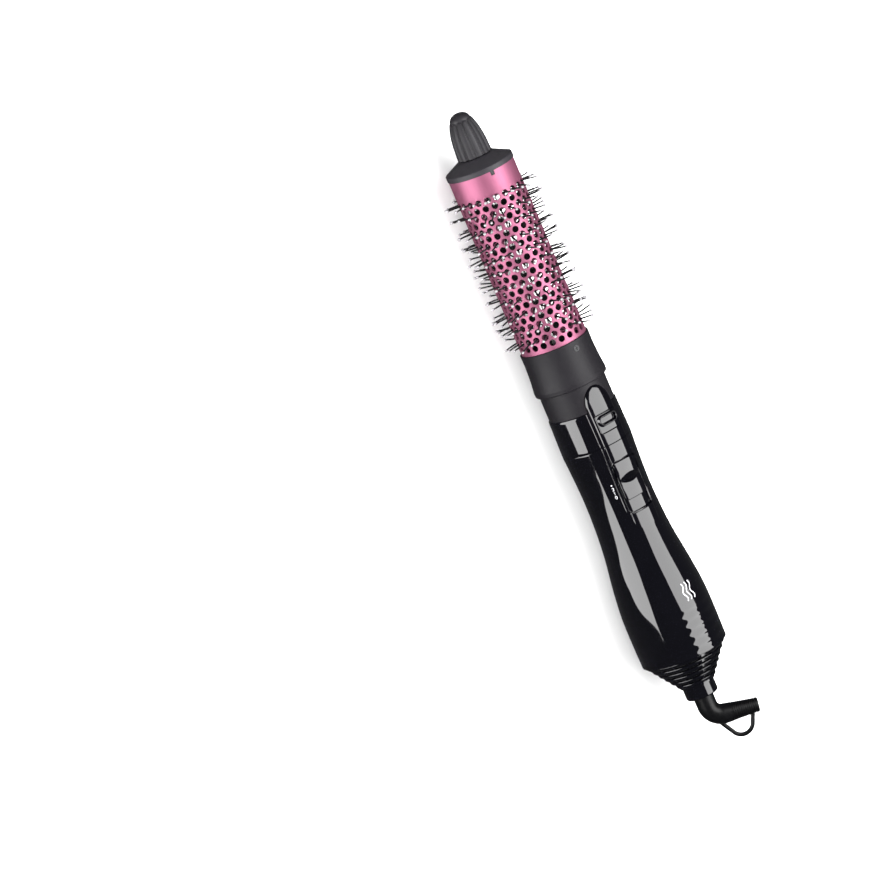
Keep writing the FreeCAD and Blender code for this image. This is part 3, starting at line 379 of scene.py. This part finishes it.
def housing():
    """The upper housing's skin, with the grip's ledge beside the console carried on."""
    bore, end = 18.05, HOUSING_END

    def radius_at(u):
        return 19.7 + 0.5 * (u - HOUSING_START) / (GRIP_START - HOUSING_START)

    def reach(radius, degrees):
        turned = from_top(degrees)
        side = abs(radius * math.sin(math.radians(turned)))
        raised = abs(turned) < CONSOLE_SPREAD and radius > bore
        return radius + (LEDGE_HEIGHT * ease((9.6 - side) / LEDGE_RAMP) if raised else 0)

    outline = [(HOUSING_START, bore), (HOUSING_START, 19.35), (HOUSING_START + 0.12, 19.6)]
    outline += [(u, radius_at(u)) for u in steps(HOUSING_START + 0.4, end - 0.35, 1.0)]
    outline += [(end - 0.1, radius_at(end) - 0.06), (end, radius_at(end) - 0.3), (end, bore)]
    rows = [[spot(u, a, reach(radius, a)) for a in HANDLE_ANGLES] for u, radius in outline]
    finish_piece(rings("housing_skin", rows, joined=True, sharp=38), "gloss_black", "handle",
                 ("upper_housing",))


def patch(name, places, half, top, under, columns=96, sharp=40):
    """A closed panel of rows across the brush, between a top surface and an underside."""
    spread = [math.sin(math.pi / 2 * (2 * n / columns - 1)) for n in range(columns + 1)]
    count, rows = len(spread), len(places)
    below = rows * count
    points, faces = [], []
    for height in (top, under):
        for u in places:
            for share in spread:
                y = share * half(u)
                points.append(Vector((NOSE + u * MM, y * MM, AXIS_HEIGHT + height(u, y) * MM)))
    for row in range(rows - 1):
        for column in range(count - 1):
            first = row * count + column
            faces.append((first, first + 1, first + count + 1, first + count))
            faces.append(tuple(below + n for n in (first, first + count, first + count + 1, first + 1)))
        for first in (row * count, row * count + count - 1):
            faces.append((first, first + count, below + first + count, below + first))
    for column in range(count - 1):
        for start in (0, (rows - 1) * count):
            first = start + column
            faces.append((first, first + 1, below + first + 1, below + first))
    return mesh_from(name, points, faces, sharp)


def console_front():
    """The console's part on the housing, with the button's opening sunk into it."""
    middle = (BUTTON_START + BUTTON_END) / 2
    opening_half, opening_reach = 7.25, (BUTTON_END - BUTTON_START) / 2 + 0.28
    opening_corner, opening_floor = 1.5, 18.6

    def top(u, y):
        height = console_top(u, y)
        outside = outside_rounded(y, u - middle, opening_half, opening_reach, opening_corner)
        if outside < 0:
            height += (opening_floor - height) * ease(-outside / 0.2)
        return height - 0.35 * ease((u - HOUSING_END + 0.4) / 0.4)

    def under(_, y):
        return math.sqrt(18.75**2 - y * y) - 0.35

    places = [CONSOLE_START + 0.02 + ARCH * (1 - math.cos(math.pi / 2 * n / 30)) for n in range(31)]
    places += steps(places[-1] + 0.4, BUTTON_START - 0.7, 0.5)
    places += steps(BUTTON_START - 0.6, BUTTON_START + 1.4, 0.12)
    places += steps(BUTTON_START + 1.8, BUTTON_END - 1.8, 0.6)
    places += steps(BUTTON_END - 1.4, BUTTON_END + 0.6, 0.12)
    places += steps(BUTTON_END + 1.0, HOUSING_END - 0.5, 0.6) + steps(HOUSING_END - 0.4, HOUSING_END, 0.1)
    finish_piece(patch("console_front", places, console_half, top, under, columns=120, sharp=35),
                 "gloss_black", "handle")


def rounded_half(start, end, half, corner):
    """Half width, as a function of the place, of an outline with rounded corners."""
    def half_at(u):
        inside = min(u - start, end - u, corner)
        return half - corner + math.sqrt(max(0.0, corner**2 - (corner - inside)**2))
    return half_at


def release_button():
    """The button's cap, with a raised oval ring around a shallow dish."""
    middle = BUTTON_START + 3.9
    ring_half, ring_reach, ring_corner, ring_width, ring_height = 6.5, 3.3, 3.1, 1.8, 1.7
    dish_depth = 0.5

    def top(u, y):
        height = console_top(u, y * 0.9)
        inside = -outside_rounded(y, u - middle, ring_half, ring_reach, ring_corner)
        if 0 < inside < ring_width:
            height += ring_height * math.sin(math.pi * inside / ring_width)
        height -= dish_depth * ease((inside - 1.5) / 0.4)
        edge = min(u - BUTTON_START, BUTTON_END - u, BUTTON_HALF - abs(y))
        return height - 0.28 * ease(1 - edge / 0.35)

    mesh = patch("button_cap", steps(BUTTON_START, BUTTON_END, 0.12),
                 rounded_half(BUTTON_START, BUTTON_END, BUTTON_HALF, 1.3), top, lambda _u, _y: 15.6,
                 columns=110, sharp=50)
    finish_piece(mesh, "gloss_black", "release_button", ("release_button",))


def switch_knob():
    """The slider, with a steep thumb ridge in the shape of a lens."""
    ridge = KNOB_START + 10.6
    lens_half, lens_reach, lens_slope = 7.0, 2.7, 1.15
    rounding = 0.6
    slope = smooth_line([(KNOB_START, 20.55), (KNOB_START + 4, 20.25), (ridge - 2.4, 19.72),
                         (ridge + 2.4, 19.6), (ridge + 7, 19.66), (KNOB_END, 19.45)])

    def top(u, y):
        height = slope(u) - y * y / 50
        lens = lens_reach * max(0.0, 1 - (y / lens_half)**2)
        if lens > 0.05 and abs(u - ridge) < lens:
            height += lens_slope * (lens - abs(u - ridge)) * ease(lens / 1.2)
        edge = min(u - KNOB_START, KNOB_END - u, KNOB_HALF - abs(y))
        return height - 0.5 * (1 - math.sqrt(max(0.0, 1 - (1 - min(edge, rounding) / rounding)**2)))

    mesh = patch("switch_slider", steps(KNOB_START, KNOB_END, 0.16),
                 rounded_half(KNOB_START, KNOB_END, KNOB_HALF, 2.2), top, lambda _u, _y: 18.25, sharp=42)
    finish_piece(mesh, "gloss_black", "power_switch", ("switch_knob",))


# ---------------------------------------------------------------- cool tip


def cool_tip():
    """A dome, then a flared body with twelve ribs that fade in behind the dome."""
    end = span("cool_tip")[1]
    dome, dome_radius = 4.2, 5.85
    rib_spacing, rib_height, groove_depth = 30.0, 0.62, 0.30
    flare = smooth_line([(dome, dome_radius), (8.5, 7.35), (12.7, 8.3), (19, 9.0), (end, 9.3)])

    def base(u):
        if u >= dome:
            return flare(u)
        return dome_radius * math.sqrt(max(0.0, 1 - (1 - u / dome)**2.1))

    def reach(u, degrees):
        share = (degrees / rib_spacing) % 1.0
        from_groove = min(share, 1 - share) * 2
        rib = ease((from_groove - 0.1) / 0.32)
        rounded = 1 - 0.30 * (1 - from_groove)**2
        onset = ease((u - 3.9 - 0.9 * (1 - from_groove)) / 0.7)
        return base(u) + onset * (rib_height * rib * rounded - groove_depth * (1 - rib))

    places = [0.02 + 4.0 * (1 - math.cos(math.pi / 2 * n / 14)) for n in range(15)]
    places += steps(4.15, 6.2, 0.16) + steps(6.8, end - 0.5, 0.9) + steps(end - 0.35, end, 0.12)
    angles = [2 * n for n in range(180)]
    rows = []
    for u in places:
        tuck = 0.35 * ease(1 - (end - u) / 0.35)
        rows.append([spot(u, a, reach(u, a) - tuck) for a in angles])
    for u, radius in ((end, 5.0), (9.0, 5.0), (9.0, 0.4)):
        rows.append([spot(u, a, radius) for a in angles])
    finish_piece(rings("cool_tip_fluted", rows, sharp=55), "tip_charcoal", "cool_tip",
                 ("cool_tip",))


# ---------------------------------------------------------------- bristles
PIN_SHARES = (0, 0.35, 0.62, 0.78, 0.9, 1.0)  # places along a pin, from the core to its ball
PIN_RADII = (0.58, 0.56, 0.52, 0.49, 0.45, 0.42)
PIN_STRAIGHT = 0.35  # share of a pin, inside the barrel, that doesn't lean
PIN_ROOT = 3.0
HUB_SIDES = 32
HUB_OUTLINE = ((-1.2, 1.85), (-1.2, 3.3), (-1.0, 3.5), (1.0, 3.5), (1.2, 3.3), (1.2, 1.85))


def square_to(direction, beside):
    """Two directions at right angles to one, the first of them at right angles to beside as well."""
    side = direction.cross(beside)
    side = side.normalized() if side.length > 1e-4 else Vector((0, 1, 0))
    return side, direction.cross(side)


def tube_faces(faces, start, rows, sides):
    """Adds the faces of a closed tube whose rings of points begin at a place in the list of points."""
    for row in range(rows - 1):
        for n in range(sides):
            first, second = start + row * sides + n, start + row * sides + (n + 1) % sides
            faces.append((first, second, second + sides, first + sides))
    last = start + (rows - 1) * sides
    faces.append(tuple(range(start, start + sides)))
    faces.append(tuple(range(last, last + sides)))


def bent_pin(points, faces, line, radii, sides=7, beside=X):
    """A thin round pin that follows a line of points, which never runs along the direction beside."""
    start = len(points)
    for number, (centre, radius) in enumerate(zip(line, radii)):
        ahead = line[min(number + 1, len(line) - 1)] - line[max(number - 1, 0)]
        side, top = square_to(ahead.normalized(), beside)
        for n in range(sides):
            turn = 2 * math.pi * n / sides
            points.append(centre + (side * math.cos(turn) + top * math.sin(turn)) * radius)
    tube_faces(faces, start, len(line), sides)


def ball(points, faces, centre, along, radius, sides=10, rows=7):
    """A small droplet, slightly longer than wide, around a centre."""
    side, top = square_to(along, X)
    start = len(points)
    for row in range(rows):
        lift = math.pi * (row + 0.35) / (rows - 0.3)
        for n in range(sides):
            turn = 2 * math.pi * n / sides
            out = (side * math.cos(turn) + top * math.sin(turn)) * math.sin(lift) * radius
            points.append(centre + out - along * math.cos(lift) * radius * 1.12)
    tube_faces(faces, start, rows, sides)


def hub(points, faces, u):
    """The small ring on the core that holds a ring of pins."""
    start, rows = len(points), len(HUB_OUTLINE)
    for offset, radius in HUB_OUTLINE:
        points += [spot(u + offset, 360 * n / HUB_SIDES, radius) for n in range(HUB_SIDES)]
    for row in range(rows):
        here, following = start + row * HUB_SIDES, start + (row + 1) % rows * HUB_SIDES
        for n in range(HUB_SIDES):
            m = (n + 1) % HUB_SIDES
            faces.append((here + n, here + m, following + m, following + n))


def bristles():
    """Rings of thin pins that come out through every other row of holes, leaning a little, with ball tips."""
    chance = random.Random(437)
    ring_count, pins_in_ring, clumps = 11, 22, 6
    longest, most_lean = 26.7, 2.8
    lowest = 0.9 * MM
    first, last = span("bristle_rows")[0] + 1.2, span("bristle_rows")[1] - 1.2
    pins, pin_faces, balls, ball_faces = [], [], [], []
    for ring in range(ring_count):
        u = first + (last - first) * ring / (ring_count - 1)
        clump_leans = [chance.gauss(0, 1.4) for _ in range(clumps)]
        for number in range(pins_in_ring):
            angle = 360 * (number + 0.5) / pins_in_ring
            lean = clump_leans[number * clumps // pins_in_ring] + chance.gauss(0, 0.9)
            lean = min(max(lean, -most_lean), most_lean)
            swing = chance.gauss(0, 2.8) + 2.2 * math.sin(math.radians(angle * 3 + ring * 70))
            reach = longest - abs(chance.gauss(0, 0.7))
            bend = chance.gauss(0, 0.35)
            tip = spot(u + lean, angle + swing, reach)
            while tip.z < lowest:
                reach -= 0.1
                tip = spot(u + lean, angle + swing, reach)
            line = []
            for share in PIN_SHARES:
                out = max(0.0, share - PIN_STRAIGHT) / (1 - PIN_STRAIGHT)
                sway = bend * math.sin(math.pi * out)
                line.append(spot(u + lean * out**1.3 + sway * 0.6, angle + swing * out**1.3 + sway,
                                 PIN_ROOT + (reach - PIN_ROOT) * share))
            bent_pin(pins, pin_faces, line, [radius * MM for radius in PIN_RADII])
            ball(balls, ball_faces, tip, (line[-1] - line[-2]).normalized(), chance.uniform(0.70, 0.80) * MM)
        hub(pins, pin_faces, u)
    finish_piece(mesh_from("bristle_pins", pins, pin_faces, 60), "black_nylon", "brush_head",
                 ("bristle_rows",))
    finish_piece(mesh_from("bristle_balls", balls, ball_faces), "clear_ball", "brush_head",
                 ("bristle_tips",))


# ---------------------------------------------------------------- the button's spring


def spring_coil():
    """A coil of wire in the place of the CAD spring, with a mesh of its own."""
    low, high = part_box("release_spring")
    wire, turns, points_in_turn = 0.25 * MM, 2.5, 24
    centre = (low + high) / 2
    swing = (high.y - low.y) / 2 - wire
    bottom, height = low.z + wire, high.z - low.z - 2 * wire
    last = round(turns * points_in_turn)
    line = []
    for n in range(last + 1):
        angle = 2 * math.pi * n / points_in_turn
        line.append(Vector((centre.x + swing * math.cos(angle), centre.y + swing * math.sin(angle),
                            bottom + height * n / last)))
    points, faces = [], []
    bent_pin(points, faces, line, [wire] * len(line), beside=Vector((0, 0, 1)))
    coil = finish_piece(mesh_from("spring_coil", points, faces, 60), "steel", "handle",
                        ("release_spring",))
    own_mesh(coil)


# ---------------------------------------------------------------- printed marks


def printed(name, strokes):
    """Thin pale marks on the grip: strokes are lines of places and degrees, each with a width."""
    sunk, lift = -0.05, 0.035
    points, faces = [], []
    for line, width in strokes:
        start = len(points)
        for number, (u, degrees) in enumerate(line):
            u0, d0 = line[max(number - 1, 0)]
            u1, d1 = line[min(number + 1, len(line) - 1)]
            radius = grip_reach(u, degrees)
            run = Vector((u1 - u0, math.radians(d1 - d0) * radius)).normalized()
            for side in (-1, 1):
                here_u = u - run.y * side * width / 2
                here_degrees = degrees + math.degrees(run.x * side * width / 2 / radius)
                for height in (sunk, lift):
                    points.append(spot(here_u, here_degrees, grip_reach(here_u, here_degrees) + height))
        end = len(points) - 4
        for a in range(start, end, 4):
            b = a + 4
            faces += [(a + 1, a + 3, b + 3, b + 1), (a, b, b + 2, a + 2), (a, a + 1, b + 1, b),
                      (a + 2, b + 2, b + 3, a + 3)]
        faces += [(start, start + 2, start + 3, start + 1), (end, end + 1, end + 3, end + 2)]
    finish_piece(mesh_from(name, points, faces), "white_print", "handle")


def place_strokes(u, degrees, lines, scale):
    """Flat drawing lines (across to the right, up towards the tip) put on the grip around a place."""
    radius = grip_line(u)
    placed = []
    for line, width in lines:
        spots = [(u - up * scale, degrees - math.degrees(across * scale / radius)) for across, up in line]
        placed.append((spots, width))
    return placed


def oval(across, up, half_across, half_up, start=0, sweep=360, count=20):
    """Points along an oval, or along part of it."""
    return [(across + half_across * math.cos(math.radians(start + sweep * n / count)),
             up + half_up * math.sin(math.radians(start + sweep * n / count))) for n in range(count + 1)]


def marks():
    """The switch's positions (dot, 2, 1, 0) beside it, and three waves of air behind them."""
    width, spacing = 0.3, 2.4
    dot = [(oval(0, 0, 0.2, 0.2, 0, 360, 12), 0.4)]
    two = [(oval(0, 0.3, 0.4, 0.4, 160, -180, 12) + [(0.1, -0.2), (-0.42, -0.68), (0.45, -0.68)], width)]
    one = [([(-0.3, 0.42), (0.0, 0.7), (0.0, 0.3), (0.0, -0.7)], width)]
    nought = [(oval(0, 0, 0.42, 0.7), width)]
    strokes = []
    for number, sign in enumerate((dot, two, one, nought)):
        strokes += place_strokes(KNOB_START + 11.0 + spacing * number, 35.5, sign, 1.2)
    printed("position_marks", strokes)
    waves = []
    for number in range(3):
        line = [(-2.6 + 2.6 * number + 0.75 * math.sin(math.pi * 2 * n / 24), -5.2 + 10.4 * n / 36)
                for n in range(37)]
        waves.append((line, 0.75))
    printed("air_mark", place_strokes(GRIP_START + 92, -6, waves, 1.0))


grip()
housing()
console_front()
release_button()
switch_knob()
cool_tip()
bristles()
spring_coil()
marks()


# ---------------------------------------------------------------- camera, floor and light
TOWARDS = Vector((-0.208, -0.489, 0.847)).normalized()  # from the brush to the camera
CAMERA_ROLL = 23.06  # degrees from the brush's long axis to the picture's upright
CAMERA_DISTANCE = 6.0
SENSOR_WIDTH, FOCAL_LENGTH = 36.0, 448.7727  # millimetres
AIM_RIGHT, AIM_UP = 0.0828077, 0.0048678  # metres from the picture's middle to the brush's middle
CENTRE = (Vector(cad_box[0]) + Vector(cad_box[1])) / 2
CENTRE.z = AXIS_HEIGHT


def camera():
    """The camera, far off with a long lens, so that the brush's tip is at the upper left."""
    along = (X - TOWARDS * X.dot(TOWARDS)).normalized()
    across = TOWARDS.cross(along)
    roll = math.radians(CAMERA_ROLL)
    right = (math.sin(roll) * along + math.cos(roll) * across).normalized()
    up = (-math.cos(roll) * along + math.sin(roll) * across).normalized()
    lens = bpy.data.cameras.new("photo_camera")
    lens.sensor_width = SENSOR_WIDTH
    lens.lens = FOCAL_LENGTH
    thing = bpy.data.objects.new("photo_camera", lens)
    bpy.context.scene.collection.objects.link(thing)
    thing.matrix_world = Matrix((right, up, TOWARDS)).transposed().to_4x4()
    thing.location = CENTRE + TOWARDS * CAMERA_DISTANCE - right * AIM_RIGHT - up * AIM_UP
    bpy.context.scene.camera = thing


def floor_and_world():
    """A pale floor that glossy surfaces don't mirror, and a dim white surround."""
    mesh = bpy.data.meshes.new("floor")
    mesh.from_pydata([(-6, -6, 0), (6, -6, 0), (6, 6, 0), (-6, 6, 0)], [], [(0, 1, 2, 3)])
    mesh.materials.append(shade("pale_floor", (0.90, 0.90, 0.90), (0.92, 0.92, 0.92), (0.8, 0.9), grain=40,
                                bump_scale=200))
    floor = bpy.data.objects.new("floor", mesh)
    bpy.context.scene.collection.objects.link(floor)
    floor.visible_glossy = False
    world = bpy.data.worlds.new("studio")
    bpy.context.scene.world = world
    world.use_nodes = True
    background = world.node_tree.nodes["Background"]
    background.inputs["Color"].default_value = (1, 1, 1, 1)
    background.inputs["Strength"].default_value = 0.09
    bpy.context.scene.view_settings.view_transform = "Standard"


def softbox(name, direction, distance, width, length, power, shift=0.0, roll=0):
    """A soft area light that faces the brush from a direction, moved along the brush by shift metres.

    Its long side runs along the brush, unless it is rolled by some degrees.
    """
    light = bpy.data.lights.new(name, "AREA")
    light.shape = "RECTANGLE"
    light.size = length
    light.size_y = width
    light.energy = power
    thing = bpy.data.objects.new(name, light)
    bpy.context.scene.collection.objects.link(thing)
    back = direction.normalized()
    side = (X - back * X.dot(back)).normalized()
    side = Matrix.Rotation(math.radians(roll), 3, back) @ side
    turn = Matrix((side, back.cross(side), back)).transposed().to_4x4()
    thing.matrix_world = Matrix.Translation(CENTRE + X * shift + back * distance) @ turn
    return thing


def about_view(degrees):
    """The direction to the camera, turned about the long axis; positive turns to the camera's right."""
    flat = Vector((0, TOWARDS.y, TOWARDS.z)).normalized()
    return Matrix.Rotation(math.radians(degrees), 3, -X) @ flat


camera()
floor_and_world()
softbox("left_strip", about_view(-60), 1.0, 1.06, 0.74, 23, shift=-0.153, roll=-19)
softbox("right_strip", about_view(51), 1.0, 0.78, 1.66, 34, shift=0.08, roll=17)
for label, direction, power in (("fill_top", (0, -0.2, 1), 34), ("fill_front", (-0.3, -1.0, 0.7), 26),
                                ("fill_back", (0.3, 0.9, 0.8), 12)):
    softbox(label, Vector(direction), 1.6, 2.4, 2.4, power).visible_glossy = False
